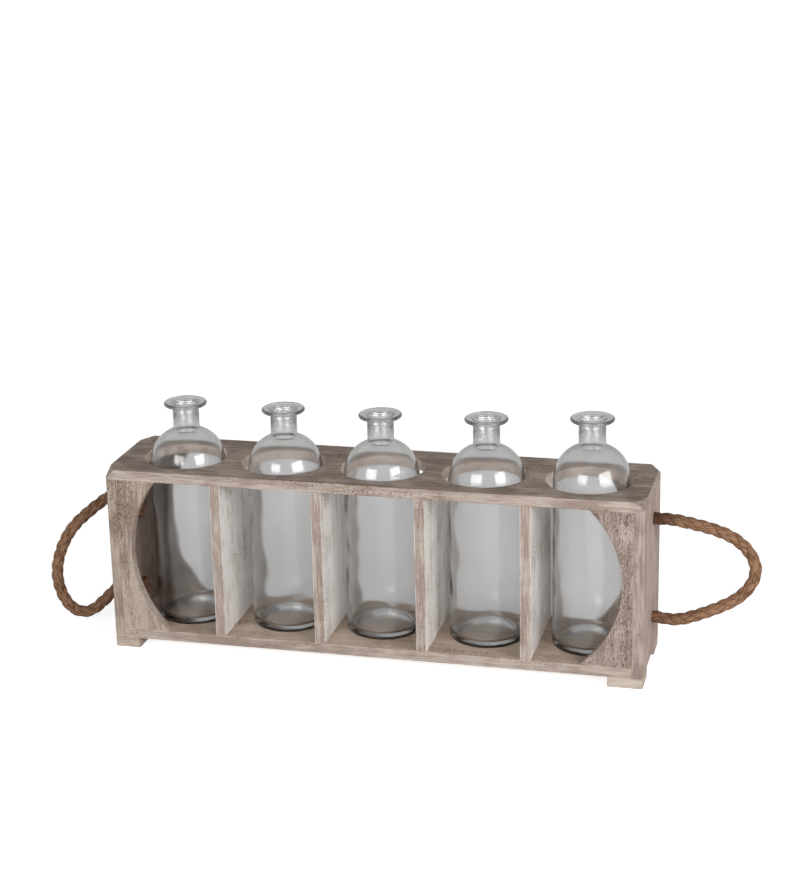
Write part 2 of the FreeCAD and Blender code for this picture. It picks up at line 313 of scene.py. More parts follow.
@dataclass(frozen=True)
class LimedWood:
    """Limed and rubbed-back wood: grain, streaks, specks of bare wood and worn arrises.

    Attributes:
        grain: The way the grain runs.
        face: The faces with the second wash.
        face_wash: The wash on them.
        wash: The wash on the other faces.
        specks: How much of the wash has come off in specks.
        fade: How much painted shade darkens the board towards the top: the wash gets thinner and shows
            more bare specks up high, and lies thicker with fewer specks low down.
        wear: How wide the arrises are worn, in millimetres.
    """

    grain: Grain
    face: Face = Face.LEVEL
    face_wash: Wash = FRONT_WASH
    wash: Wash = FRONT_WASH
    specks: float = 0.5
    fade: float = 0.0
    wear: float = 0.9

    def coat(self, shader: Shader, wash: Wash, streaks: Wire, specks: Wire) -> Wire:
        """The colour of one wash.

        Args:
            shader: The shader that it belongs to.
            wash: The wash.
            streaks: Where the wash lies thin.
            specks: Where bare wood shows through.

        Returns:
            The colour.
        """
        thin = streaks.ramp(wash.cover - 0.09, wash.cover + 0.09)
        return shader.mix(specks, shader.mix(thin, wash.thick, wash.thin), wash.speck)

    def material(self, board: "Board", seed: int) -> bpy.types.Material:
        """Makes the finish for one board.

        Args:
            board: The board, whose sizes place its arrises.
            seed: A number that gives each board its own grain.

        Returns:
            The material.
        """
        shader = new_shader(f"limed_wood_{board.node}")
        point = shader.place()
        shift = tuple(37.0 * math.sin(seed * k) for k in (1.3, 2.7, 4.1))
        fine_scale = tuple(s / MM for s in self.grain.value)
        fibre_place = shader.stretched(point, fine_scale, shift)
        speck_scale = tuple((0.35 + 0.65 * s) / MM for s in self.grain.value)
        speck_place = shader.stretched(point, speck_scale, shift)
        even_place = shader.stretched(point, (1 / MM,) * 3, shift)

        rings = shader.noise(fibre_place, 0.16, 3.0, 0.8)
        fibres = shader.noise(fibre_place, 0.85, 4.0)
        patches = shader.noise(even_place, 0.035, 3.0)
        columns = shader.noise(fibre_place, 0.085, 2.0)
        broken = shader.noise(speck_place, 0.9, 2.0)
        pores = shader.noise(speck_place, 1.3, 2.0)
        cracks = shader.node(
            "TexVoronoi", {"feature": "DISTANCE_TO_EDGE"}, {"Vector": speck_place, "Scale": 0.55},
        )

        streaks = 0.42 * fibres + 0.33 * rings + 0.35 * patches - 0.05
        bare = 1.5 * broken + 0.9 * columns + 0.35 * patches - 2.6 * cracks
        # Painted shade: towards the top the wash thins and more bare wood shows, so the board darkens
        # upwards; low down it has fewer specks and looks lighter.
        if self.fade:
            painted_upward_shade = self.fade * (shader.parts(point)[2].ramp(30 * MM, 150 * MM) - 0.5)
            streaks, bare = streaks + painted_upward_shade, bare + 2.5 * painted_upward_shade
        start = 1.53 - 0.26 * self.specks
        specks = bare.ramp(start, start + 0.10) * 0.85
        specks = specks.most(pores.ramp(0.66, 0.76) * columns.ramp(0.42, 0.6) * 0.7)

        face_distance, arris_distance = board.distances(shader, point, self.face)
        on_face = face_distance.ramp(0.6, 0.25)
        plain = self.coat(shader, self.wash, streaks, specks)
        faced = self.coat(shader, self.face_wash, streaks, specks)
        colour = shader.mix(on_face, plain, faced)
        ragged = shader.noise(speck_place, 0.25, 3.0)
        worn = (arris_distance / self.wear + 3.4 * (ragged - 0.36)).ramp(1.0, 0.25)
        colour = shader.mix(worn * 0.6, colour, BARE_WOOD)

        height = 0.5 * fibres + 0.3 * rings - 0.45 * specks - 0.4 * worn + 0.4
        return shader.finish(shader.principled({
            "Base Color": colour,
            "Roughness": 0.62 + 0.3 * fibres,
            "Specular IOR Level": 0.3,
            "Normal": shader.bump(height, 0.45 * MM, 0.9),
        }))


@dataclass(frozen=True)
class HoleRow:
    """The row of round holes in the top board, along X."""

    count: int = 5
    middle: float = 1.8 * MM
    pitch: float = 99.2 * MM
    radius: float = 40.5 * MM


@dataclass(frozen=True)
class Window:
    """The round window at one end of the crate, seen from the front."""

    centre: float
    radius: float
    level: float = 100.2 * MM


@dataclass(frozen=True)
class Board:
    """One board or block of the crate, with the round openings cut in it.

    Attributes:
        node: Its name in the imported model.
        finish: Its finish.
        window: The round window cut from it.
        holes: The round holes through it.
    """

    node: str
    finish: LimedWood
    window: Window | None = None
    holes: HoleRow | None = None

    def distances(self, shader: Shader, point: Wire, face: Face) -> tuple[Wire, Wire]:
        """How far a point of the surface lies from a pair of faces, and from the nearest arris.

        The point lies on one face of the board, so the nearest arris is as far as the second
        nearest face.

        Args:
            shader: The shader that the wires belong to.
            point: The point on the surface, in metres.
            face: The pair of faces that is asked about.

        Returns:
            Both distances, in millimetres.
        """
        low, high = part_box(self.node)
        x, y, z = axes = [axis / MM for axis in shader.parts(point)]
        walls = [
            (high[i] - low[i]) / 2 / MM - abs(axes[i] - (high[i] + low[i]) / 2 / MM)
            for i in range(3)
        ]
        nearest, second = walls[0].least(walls[1]), walls[0].most(walls[1])
        rest = walls[2:]
        if self.window:
            across = (x - self.window.centre / MM) ** 2 + (z - self.window.level / MM) ** 2
            rest.append(abs(across ** 0.5 - self.window.radius / MM))
        if self.holes:
            pitch, last = self.holes.pitch / MM, (self.holes.count - 1) / 2
            along = x - self.holes.middle / MM
            step = (along / pitch).rounded().least(last).most(-last)
            across = (along - step * pitch) ** 2 + y ** 2
            rest.append(abs(across ** 0.5 - self.holes.radius / MM))
        for wall in rest:
            second = second.least(nearest.most(wall))
            nearest = nearest.least(wall)
        return walls[face.value], second

    def dress(self, seed: int) -> None:
        """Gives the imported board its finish."""
        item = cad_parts[self.node]
        item.data.materials.clear()
        item.data.materials.append(self.finish.material(self, seed))
        log.info("%s: limed wood", self.node)


def add_piece(name: str, mesh: bmesh.types.BMesh, material: bpy.types.Material,
              smooth: bool = True) -> bpy.types.Object:
    """Makes an object of a finished mesh.

    Args:
        name: The piece's name.
        mesh: Its mesh, which is used up.
        material: Its material.
        smooth: Whether its faces are shaded smooth.

    Returns:
        The object, at the origin.
    """
    data = bpy.data.meshes.new(name)
    for face in mesh.faces:
        face.smooth = smooth
    mesh.to_mesh(data)
    mesh.free()
    data.materials.append(material)
    piece = bpy.data.objects.new(name, data)
    bpy.context.scene.collection.objects.link(piece)
    log.info("%s: %d faces", name, len(data.polygons))
    return piece


@dataclass
class Crate:
    """The limed crate: boards, brackets, feet, and the filler over its brad nails."""

    body: str = "crate"
    holes: HoleRow = HoleRow()
    left_window: Window = Window(-125.6 * MM, 112 * MM)
    right_window: Window = Window(138.8 * MM, 101 * MM)
    filler_radius: float = 0.84 * MM
    filler_length: float = 1.3 * MM
    filler_segments: int = 16

    def boards(self) -> list[Board]:
        """Every board and block with its finish."""
        top = LimedWood(Grain.ALONG, Face.LEVEL, WORN_WASH, specks=0.45, wear=1.0)
        bottom = LimedWood(Grain.ALONG, Face.LEVEL, FLOOR_WASH, specks=0.45, wear=0.8)
        divider = LimedWood(Grain.UP, Face.ENDS, WHITE_WASH, specks=0.35, wear=0.7)
        panels = {
            # The left panel's end faces take the painted-shade wash, a darker copy of the wash.
            "left": LimedWood(Grain.UP, Face.ENDS, PAINTED_SHADE_WASH, GREY_WASH, 0.3, 0.055, wear=0.7),
            "right": LimedWood(Grain.UP, Face.ENDS, SIDE_WASH, PINK_WASH, specks=0.3, wear=0.7),
        }
        brackets = {
            # The fades of the brackets, and of the left panel above, darken them towards the top as
            # painted shade.
            "left": LimedWood(Grain.UP, Face.FRONT, GREY_WASH, specks=0.7, fade=0.055, wear=0.6),
            "right": LimedWood(Grain.UP, Face.FRONT, PINK_WASH, specks=1.0, fade=0.04, wear=0.6),
        }
        foot = LimedWood(Grain.ALONG, Face.LEVEL, FLOOR_WASH, FOOT_WASH, specks=0.3)
        found = [
            Board("top_board", top, holes=self.holes),
            Board("bottom_board", bottom),
            *(Board(f"divider_{number}", divider) for number in range(1, self.holes.count)),
        ]
        for end, window in (("left", self.left_window), ("right", self.right_window)):
            found.append(Board(f"end_panel_{end}", panels[end]))
            for side in ("front", "rear"):
                found.append(Board(f"bracket_{side}_{end}", brackets[end], window=window))
                found.append(Board(f"foot_{side}_{end}", foot))
        return found

    def brad_ends(self, node: str) -> list[tuple[Vector, Vector]]:
        """Finds where each brad of a group points out of the wood.

        Args:
            node: The group of brads.

        Returns:
            For each brad, the middle of its outer end and the way out.
        """
        mesh = bmesh.new()
        mesh.from_mesh(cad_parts[node].data)
        bmesh.ops.remove_doubles(mesh, verts=mesh.verts, dist=0.01 * MM)
        left, ends = set(mesh.verts), []
        while left:
            found, edge = set(), {left.pop()}
            while edge:
                found |= edge
                edge = {e.other_vert(v) for v in edge for e in v.link_edges} - found
            left -= found
            low = Vector(min(v.co[i] for v in found) for i in range(3))
            high = Vector(max(v.co[i] for v in found) for i in range(3))
            axis = max(range(3), key=lambda i: high[i] - low[i])
            middle = (low + high) / 2
            board_low, board_high = cad_box
            out_low = low[axis] - board_low[axis] < board_high[axis] - high[axis]
            way = Vector([0.0, 0.0, 0.0])
            way[axis] = -1.0 if out_low else 1.0
            middle[axis] = low[axis] if out_low else high[axis]
            ends.append((middle, way))
        mesh.free()
        return ends

    def add_fillers(self, node: str, depth: float, material: bpy.types.Material) -> None:
        """Fills the pits over one group of brads flush with the wood.

        Args:
            node: The group of brads.
            depth: How deep the brads are set.
            material: The filler's finish.
        """
        mesh = bmesh.new()
        for middle, way in self.brad_ends(node):
            turn = way.to_track_quat("Z", "Y").to_matrix().to_4x4()
            centre = middle + way * (depth - self.filler_length / 2 - 0.04 * MM)
            bmesh.ops.create_cone(
                mesh, cap_ends=True, segments=self.filler_segments, radius1=self.filler_radius,
                radius2=self.filler_radius, depth=self.filler_length,
                matrix=Matrix.Translation(centre) @ turn,
            )
        piece = add_piece(node.replace("brads", "fillers"), mesh, material, False)
        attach(piece, self.body)

    def filler(self) -> bpy.types.Material:
        """The lime putty that fills the pits."""
        shader = new_shader("lime_putty")
        grain = shader.noise(shader.place(), 2.2 / MM, 2.0)
        return shader.finish(shader.principled({
            "Base Color": shader.mix(grain, (0.30, 0.235, 0.19), (0.40, 0.33, 0.275)),
            "Roughness": 0.75 + 0.2 * grain,
            "Normal": shader.bump(grain, 0.1 * MM),
        }))

    def steel(self) -> bpy.types.Material:
        """The bright wire of the brads, which lie hidden in the wood."""
        shader = new_shader("brad_wire")
        drawn = shader.noise(shader.stretched(shader.place(), (900, 900, 60), (0, 0, 0)), 4.0)
        return shader.finish(shader.principled({
            "Base Color": shader.mix(drawn, (0.38, 0.37, 0.36), (0.55, 0.54, 0.53)),
            "Metallic": 1.0,
            "Roughness": 0.3 + 0.3 * drawn,
        }))

    def build(self) -> None:
        """Dresses the boards and adds the filler."""
        for seed, board in enumerate(self.boards(), 1):
            board.dress(seed)
        putty, steel = self.filler(), self.steel()
        for node in ("top_brads", "bottom_brads", "panel_brads", "foot_brads"):
            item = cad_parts[node]
            item.data.materials.clear()
            item.data.materials.append(steel)
            self.add_fillers(node, 1.5 * MM, putty)


@dataclass(frozen=True)
class ClearGlass:
    """Clear glass with a faint grey body, which lets the lamps through.

    Attributes:
        tint: What one face lets through.
        body: The colour that is left after a long way through it.
        density: How strongly the glass takes up light, for each metre.
        roughness: How soft its reflections are.
        neck_roughness: The same at the neck and the lip.
    """

    tint: Colour = (0.975, 0.975, 0.975)
    body: Colour = (0.32, 0.325, 0.32)
    density: float = 27.0
    roughness: float = 0.1
    neck_roughness: float = 0.2

    def material(self) -> bpy.types.Material:
        """Makes the glass."""
        shader = new_shader("clear_glass")
        point = shader.place()
        waves = shader.noise(point, 45.0, 2.0)
        neck = shader.parts(point)[2].ramp(206 * MM, 217 * MM)
        glass = shader.principled({
            "Base Color": (*self.tint, 1.0),
            "Roughness": self.roughness + (self.neck_roughness - self.roughness) * neck,
            "IOR": 1.5,
            "Transmission Weight": 1.0,
            "Normal": shader.bump(waves, 0.5 * MM, 0.2),
        })
        open_way = shader.node("BsdfTransparent", inputs={"Color": (0.94, 0.94, 0.94, 1.0)})
        shadow = shader.node("LightPath", output="Is Shadow Ray")
        surface = shader.node("MixShader", inputs={0: shadow, 1: glass, 2: open_way})
        volume = shader.node(
            "VolumeAbsorption", inputs={"Color": (*self.body, 1.0), "Density": self.density}
        )
        return shader.finish(surface, volume)


@dataclass
class Bottle:
    """One blown bottle, turned from its half section about its own axis.

    Heights are measured from its base. The profile runs from the pushed-up base, up the outside,
    over the lip and down the inside to the floor.
    """

    number: int
    material: bpy.types.Material
    body_radius: float = 37 * MM
    wall: float = 2.5 * MM
    shoulder_start: float = 67 * MM
    haunch_radius: float = 60 * MM
    shoulder_radius: float = 32 * MM
    shoulder_offset: float = 3.6 * MM
    heel: float = 2.5 * MM
    inner_heel: float = 4.5 * MM
    standing_width: float = 8 * MM
    floor: float = 5.5 * MM
    punt: float = 9 * MM
    neck: float = 12.7 * MM
    bore: float = 10 * MM
    root_flare: float = 1 * MM
    inner_flare: float = 2.6 * MM
    lip: float = 20.8 * MM
    lip_rounding: float = 2 * MM
    dish: float = 1.8 * MM
    mouth_rounding: float = 1.5 * MM
    collar_drop: float = 6.2 * MM
    collar_bulge: float = 1.2 * MM
    segments: int = 112
    waviness: float = 0.8 * MM

    @staticmethod
    def arc(centre: tuple[float, float], radius: float, start: float, end: float,
            steps: int) -> list[tuple[float, float]]:
        """Points of an arc.

        Args:
            centre: Its centre, out from the axis and up.
            radius: Its radius.
            start: Where it starts, in degrees from straight out, turning upwards.
            end: Where it ends, in degrees.
            steps: Into how many pieces it is divided.

        Returns:
            Its points, both ends among them.
        """
        turns = [math.radians(start + (end - start) * i / steps) for i in range(steps + 1)]
        return [(centre[0] + radius * math.cos(a), centre[1] + radius * math.sin(a)) for a in turns]

    def dome(self, half_width: float, base: float, rise: float) -> list[tuple[float, float]]:
        """A shallow dome from its top on the axis to its rim."""
        radius = (half_width ** 2 + rise ** 2) / (2 * rise)
        reach = math.degrees(math.asin(half_width / radius))
        return self.arc((0.0, base + rise - radius), radius, 90.0, 90.0 - reach, 14)

    def shoulder(self, neck: float, flare: float, inset: float,
                 base: float) -> list[tuple[float, float]]:
        """The haunch's arc, the shoulder's arc that it runs into, and the hollow root of the neck.

        Args:
            neck: The radius of the neck.
            flare: How far its foot flares out.
            inset: How far inside the outer face it lies.
            base: The level where the haunch begins.

        Returns:
            The points from the body up to the foot of the neck.
        """
        across = self.shoulder_offset + self.haunch_radius - self.body_radius
        rise = math.sqrt((self.haunch_radius - self.shoulder_radius) ** 2 - across ** 2)
        touch = math.degrees(math.atan2(rise, across))
        radius = self.shoulder_radius - inset
        turn = math.acos((neck + flare - self.shoulder_offset) / radius)
        root = flare / (1 - math.cos(turn))
        haunch = (self.body_radius - self.haunch_radius, base)
        crown = (self.shoulder_offset, base + rise)
        hollow = (neck + root, crown[1] + (radius + root) * math.sin(turn))
        end = math.degrees(turn)
        return [
            *self.arc(haunch, self.haunch_radius - inset, 0, touch, 12),
            *self.arc(crown, radius, touch, end, 22)[1:],
            *self.arc(hollow, root, 180 + end, 180, 8)[1:],
        ]

    def outside(self, height: float) -> list[tuple[float, float]]:
        """The profile of the outside, from the middle of the base to the lip."""
        stand = self.body_radius - self.heel
        base = height - self.shoulder_start
        collar = height - self.collar_drop
        lip = (self.lip - self.lip_rounding, height - self.lip_rounding)
        bulge = self.arc((self.neck, collar + self.collar_bulge), self.collar_bulge, -90, 90, 10)
        wall = [(self.body_radius, self.heel + (base - self.heel) * i / 24) for i in range(1, 24)]
        return [
            *self.dome(stand - self.standing_width, 0.0, self.punt),
            *self.arc((stand, self.heel), self.heel, -90, 0, 8),
            *wall,
            *self.shoulder(self.neck, self.root_flare, 0.0, base),
            *bulge,
            (self.lip - 3.2 * self.lip_rounding, lip[1] - self.lip_rounding),
            *self.arc(lip, self.lip_rounding, -90, 90, 12),
        ]

    def inside(self, height: float) -> list[tuple[float, float]]:
        """The profile of the inside, from the lip's dish down to the middle of the floor."""
        width = self.body_radius - self.wall
        base = height - self.shoulder_start
        mouth = (self.bore + self.mouth_rounding, height - self.dish - self.mouth_rounding)
        heel = (width - self.inner_heel, self.floor + self.inner_heel)
        wall = [(width, heel[1] + (base - heel[1]) * i / 24) for i in range(23, 0, -1)]
        return [
            *self.arc(mouth, self.mouth_rounding, 90, 180, 8),
            *reversed(self.shoulder(self.bore, self.inner_flare, self.wall, base)),
            *wall,
            *self.arc(heel, self.inner_heel, 0, -90, 10),
            *reversed(self.dome(heel[0], self.floor, self.punt)),
        ]

    def build(self) -> bpy.types.Object:
        """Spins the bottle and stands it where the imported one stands.

        Returns:
            The bottle.
        """
        node = f"bottle_{self.number}"
        low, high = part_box(node)
        axis = Vector(((low.x + high.x) / 2, (low.y + high.y) / 2, low.z))
        height = high.z - low.z
        mesh = bmesh.new()
        outline = self.outside(height) + self.inside(height)
        points = [mesh.verts.new((out, 0.0, up)) for out, up in outline]
        edges = [mesh.edges.new(pair) for pair in zip(points, points[1:])]
        bmesh.ops.spin(
            mesh, geom=points + edges, cent=(0, 0, 0), axis=(0, 0, 1), angle=math.tau,
            steps=self.segments, use_merge=True, use_normal_flip=False, use_duplicate=False,
        )
        bmesh.ops.remove_doubles(mesh, verts=mesh.verts, dist=0.002 * MM)
        bmesh.ops.recalc_face_normals(mesh, faces=mesh.faces)
        inner = self.body_radius - self.wall / 2
        for vert in mesh.verts:
            out = Vector((vert.co.x, vert.co.y, 0.0))
            if out.length < inner and vert.co.z > self.floor + self.inner_heel:
                drift = noise.noise(vert.co * 42.0 + Vector((0, 0, 7.0 * self.number)))
                fade = min(1.0, (height - 26 * MM - vert.co.z) / (24 * MM))
                vert.co += out.normalized() * drift * self.waviness * max(0.0, fade)
        bmesh.ops.translate(mesh, verts=mesh.verts, vec=axis)
        piece = add_piece(f"glass_{node}", mesh, self.material)
        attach(piece, node)
        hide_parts(node)
        return piece


@dataclass(frozen=True)
class Jute:
    """Coarse brown jute: pale worn fibres on the crowns, and painted shade in the hollows between the
    strands.
    """

    pale: Colour = (0.38, 0.23, 0.145)
    brown: Colour = (0.14, 0.065, 0.031)
    rust: Colour = (0.30, 0.135, 0.058)
    # The colour of the painted shade in the hollows between the strands.
    hollow: Colour = (0.05, 0.02, 0.01)
    # The painted shade near the panels is full inside dark_from and gone outside dark_to, out from the
    # middle.
    dark_from: float = 262 * MM
    dark_to: float = 292 * MM

    def material(self, name: str, shade: float = 0.0) -> bpy.types.Material:
        """Makes the finish, which follows the strands by the attributes lay and depth.

        The rope is darker in its knots and where it leaves the panels, a painted shade that its place
        tells.

        Args:
            name: The material's name.
            shade: How much darker than usual it is all over, from 0 to 1.

        Returns:
            The material.
        """
        shader = new_shader(name)
        lay = shader.node("Attribute", {"attribute_name": "lay"}, output="Vector")
        depth = shader.node("Attribute", {"attribute_name": "depth"}, output="Fac")
        hairs = shader.noise(shader.stretched(lay, (3000, 3000, 350), (0, 0, 0)), 1.0, 2.0)
        fibres = shader.noise(shader.stretched(lay, (1150, 1150, 130), (7, 1, 0)), 1.0, 3.0)
        tufts = shader.noise(shader.stretched(lay, (430, 430, 75), (3, 5, 0)), 1.0, 2.0)
        lengths = shader.noise(shader.stretched(lay, (70, 70, 45), (9, 0, 2)), 1.0, 2.0)
        x, _, z = shader.parts(shader.place())
        # Painted shade in the knots behind the panels and where the rope goes into the holes; at the
        # lower hole it is weaker unless the rope is shaded all over.
        panel_shade = abs(x).ramp(self.dark_to, self.dark_from) * (0.42 + 0.6 * tufts)
        panel_shade = panel_shade * z.ramp(60 * MM, 110 * MM).most(min(1.0, 0.25 + 2.5 * shade))

        pale = (0.3 * hairs + 0.6 * fibres + 0.35 * tufts + 0.2 * lengths - 0.22).ramp(0.38, 0.62)
        colour = shader.mix(pale, self.brown, self.pale)
        colour = shader.mix((tufts + 0.6 * lengths).ramp(0.78, 1.05) * 0.45, colour, self.rust)
        # Painted shade: darker where the surface lies deep between the strands.
        hollow = (depth + 0.3 * (fibres - 0.5)).ramp(0.88, 0.73) * 0.85
        dark = hollow.most(panel_shade).most(shade * (1.25 - 0.7 * pale))
        colour = shader.mix(dark, colour, self.hollow)
        height = 0.35 * hairs + 0.7 * fibres + 0.4 * tufts
        return shader.finish(shader.principled({
            "Base Color": colour,
            "Roughness": 0.8 + 0.18 * fibres,
            "Specular IOR Level": 0.2,
            "Normal": shader.bump(height, 0.8 * MM, 0.9),
        }))


def along_spline(points: list[Vector], step: float) -> list[Vector]:
    """The line that a smooth NURBS spline takes near its control points.

    Args:
        points: The control points.
        step: How far apart the points of the line are.

    Returns:
        Points of the line at even steps, its two ends among them.
    """
    curve = bpy.data.curves.new("route", "CURVE")
    curve.dimensions = "3D"
    curve.resolution_u = 24
    spline = curve.splines.new("NURBS")
    spline.points.add(len(points) - 1)
    for place, point in zip(spline.points, points):
        place.co = (*point, 1.0)
    spline.order_u = 3
    spline.use_endpoint_u = True
    item = bpy.data.objects.new("route", curve)
    bpy.context.scene.collection.objects.link(item)
    bpy.context.view_layer.update()
    drawn = bpy.data.meshes.new_from_object(item)
    line = [v.co.copy() for v in drawn.vertices]
    bpy.data.objects.remove(item)
    bpy.data.curves.remove(curve)
    bpy.data.meshes.remove(drawn)
    reach = [0.0]
    for a, b in zip(line, line[1:]):
        reach.append(reach[-1] + (b - a).length)
    count = max(2, round(reach[-1] / step))
    even, k = [], 0
    for i in range(count + 1):
        want = reach[-1] * i / count
        while k < len(reach) - 2 and reach[k + 1] < want:
            k += 1
        share = (want - reach[k]) / max(reach[k + 1] - reach[k], 1e-9)
        even.append(line[k].lerp(line[k + 1], min(1.0, share)))
    return even


def length_of(line: list[Vector]) -> float:
    """The length of a line of points."""
    return sum((b - a).length for a, b in zip(line, line[1:]))


@dataclass
class Rope:
    """Three-strand rope laid to the right, each strand of twisted yarns.

    Attributes:
        radius: The rope's radius.
        strand_share: A strand's radius as a share of the rope's.
        centre_share: How far a strand's middle is from the rope's, as a share of its radius.
        lay_length: How far one strand runs along the rope in one turn.
        yarns: The ridges round one strand.
        yarn_depth: How deep the furrows between them are, as a share of the strand's radius.
        yarn_lay: How far a yarn runs along its strand in one turn, the other way round.
        unevenness: How much a strand swells and thins.
        step: How far apart the rings of a strand's mesh are.
    """

    radius: float = 6 * MM
    strands: int = 3
    strand_share: float = 0.635
    centre_share: float = 0.36
    lay_length: float = 33 * MM
    yarns: int = 7
    yarn_depth: float = 0.035
    yarn_lay: float = 26 * MM
    ring_points: int = 24
    unevenness: float = 0.05
    step: float = 1.1 * MM

    def frames(self, line: list[Vector]) -> list[Matrix]:
        """A frame at each point of a line, carried along without twisting.

        Args:
            line: The points.

        Returns:
            Matrices whose Z runs along the line.
        """
        found, side = [], None
        for i, point in enumerate(line):
            ahead = (line[min(i + 1, len(line) - 1)] - line[max(i - 1, 0)]).normalized()
            if side is None:
                up = Vector((0, 0, 1)) if abs(ahead.z) < 0.9 else Vector((0, 1, 0))
                side = up.cross(ahead)
            side = (side - ahead * side.dot(ahead)).normalized()
            across = ahead.cross(side)
            found.append(Matrix((
                (side.x, across.x, ahead.x, point.x), (side.y, across.y, ahead.y, point.y),
                (side.z, across.z, ahead.z, point.z), (0, 0, 0, 1),
            )))
        return found

    def ring(self, frame_at: Matrix, reach: float, strand: int, radius: float) -> Matrix:
        """Where one ring of a strand lies.

        Args:
            frame_at: The rope's frame there.
            reach: How far along the rope it is.
            strand: Which strand.
            radius: The rope's radius there.

        Returns:
            The matrix that takes a circle of radius 1 to the ring.
        """
        turn = math.tau * (reach / self.lay_length + strand / self.strands)
        slope = math.tau * radius * self.centre_share / self.lay_length
        around = Matrix.Rotation(turn, 4, "Z")
        outwards = Matrix.Translation((radius * self.centre_share, 0, 0))
        tilt = Matrix.Rotation(-math.atan(slope), 4, "X")
        twist = Matrix.Rotation(-math.tau * reach / self.yarn_lay - turn, 4, "Z")
        swell = noise.noise(Vector((reach * 90.0, strand * 5.0, radius * 3000.0)))
        size = radius * self.strand_share * (1 + self.unevenness * swell)
        return frame_at @ around @ outwards @ tilt @ twist @ Matrix.Diagonal((size, size, size, 1))

    def add_strand(self, mesh: bmesh.types.BMesh, frames: list[Matrix], reaches: list[float],
                   radii: list[float], strand: int) -> None:
        """Extrudes one strand, ring by ring.

        Args:
            mesh: The mesh that it is added to.
            frames: The rope's frames.
            reaches: How far along the rope each is.
            radii: The rope's radius at each.
            strand: Which strand.
        """
        lay = mesh.verts.layers.float_vector.get("lay") or mesh.verts.layers.float_vector.new("lay")
        depth = mesh.verts.layers.float.get("depth") or mesh.verts.layers.float.new("depth")
        places = [self.ring(*given) for given in zip(
            frames, reaches, [strand] * len(frames), radii,
        )]
        made = bmesh.ops.create_circle(mesh, segments=self.ring_points, radius=1.0)["verts"]
        for vert in made:
            around = math.atan2(vert.co.y, vert.co.x)
            ridge = 1 - self.yarn_depth * (0.5 - 0.5 * math.cos(self.yarns * around)) ** 2
            vert.co *= ridge
            vert[lay] = vert.co * self.radius * self.strand_share + Vector((0.02 * strand, 0, 0))
        ring = list({e for v in made for e in v.link_edges})
        bmesh.ops.transform(mesh, matrix=places[0], verts=made)
        first = ring
        for i, place in enumerate(places):
            if i:
                moved = bmesh.ops.extrude_edge_only(mesh, edges=ring)["geom"]
                made = [g for g in moved if isinstance(g, bmesh.types.BMVert)]
                ring = [g for g in moved if isinstance(g, bmesh.types.BMEdge)]
                step = place @ places[i - 1].inverted()
                bmesh.ops.transform(mesh, matrix=step, verts=made)
            for vert in made:
                vert[lay] = Vector((vert[lay].x, vert[lay].y, reaches[i]))
                vert[depth] = (vert.co - frames[i].translation).length / radii[i]
        for rim in (first, ring):
            bmesh.ops.edgeloop_fill(mesh, edges=rim)

    def mesh(self, line: list[Vector], radii: list[float] | None = None) -> bmesh.types.BMesh:
        """Lays all the strands along a line.

        Args:
            line: The rope's middle line, at even steps.
            radii: The rope's radius at each point, or None for its own radius.

        Returns:
            The mesh.
        """
        mesh = bmesh.new()
        frames = self.frames(line)
        reaches = [length_of(line[:i + 1]) for i in range(len(line))]
        for strand in range(self.strands):
            self.add_strand(mesh, frames, reaches, radii or [self.radius] * len(line), strand)
        bmesh.ops.recalc_face_normals(mesh, faces=mesh.faces)
        return mesh

    def fibres(self, name: str, line: list[Vector], count: int, seed: int,
               material: bpy.types.Material, ragged_end: bool = False) -> bpy.types.Object:
        """Loose fibres that have worked out of the rope.

        Args:
            name: The piece's name.
            line: The rope's middle line.
            count: How many there are.
            seed: What the random draws start from.
            material: Their finish.
            ragged_end: Whether they all fray from the end of the line.

        Returns:
            The fibres as one mesh.
        """
        draw = random.Random(seed)
        frames = self.frames(line)
        curve = bpy.data.curves.new(name, "CURVE")
        curve.dimensions = "3D"
        curve.bevel_depth = 0.11 * MM
        curve.bevel_resolution = 0
        curve.use_fill_caps = True
        for _ in range(count):
            at = frames[-1] if ragged_end else frames[draw.randrange(3, len(frames) - 3)]
            turn = draw.uniform(0, math.tau)
            out = Vector((math.cos(turn), math.sin(turn), 0))
            lift = draw.uniform(0.1, 0.45)
            along = 1.0 if ragged_end else draw.choice((-1.0, 1.0))
            length = draw.uniform(3, 9) * MM
            start = self.radius * (draw.uniform(0.2, 0.75) if ragged_end else 0.93)
            curl = draw.uniform(-0.5, 0.5)
            spline = curve.splines.new("POLY")
            spline.points.add(4)
            for i, place in enumerate(spline.points):
                share = i / 4
                sideways = Vector((-out.y, out.x, 0)) * curl * share * share * length
                point = out * (start + lift * length * share ** 1.5) + sideways
                point.z += along * length * share * (1 - 0.3 * lift)
                place.co = (*(at @ point), 1.0)
                place.radius = 1 - 0.7 * share
        item = bpy.data.objects.new(name + "_curve", curve)
        bpy.context.scene.collection.objects.link(item)
        bpy.context.view_layer.update()
        data = bpy.data.meshes.new_from_object(item)
        bpy.data.objects.remove(item)
        piece = bpy.data.objects.new(name, data)
        bpy.context.scene.collection.objects.link(piece)
        data.materials.clear()
        data.materials.append(material)
        log.info("%s: %d fibres", name, count)
        return piece


class End(Enum):
    """One end of the crate."""

    LEFT = -1
    RIGHT = 1


